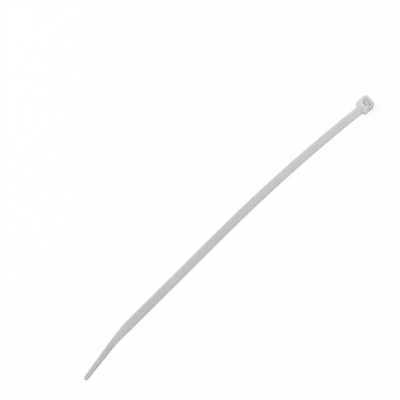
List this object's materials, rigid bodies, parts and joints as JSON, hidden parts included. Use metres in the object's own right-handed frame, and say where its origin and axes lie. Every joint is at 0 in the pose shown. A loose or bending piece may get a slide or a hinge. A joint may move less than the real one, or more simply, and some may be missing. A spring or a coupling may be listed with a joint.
{
  "type": "cable tie",
  "caption": "Natural nylon cable tie lying flat: toothed strap with plain rails, narrow grip tail and a locking head whose slot shows the toothed pawl.",
  "frame": {"origin": "middle of the head's slot, on the entry face where the tail goes in, which is also the plane that the tie lies on", "axes": "+X from the head along the strap, +Z out of the slot's exit face, the way the tail is pulled through"},
  "size_m": [0.1987, 0.0235, 0.0047],
  "materials": {
    "natural_nylon": "milky translucent moulded nylon, satin back and slightly rougher teeth"
  },
  "bodies": {
    "root": {"cable_tie": "natural_nylon"}
  },
  "joints": []
}
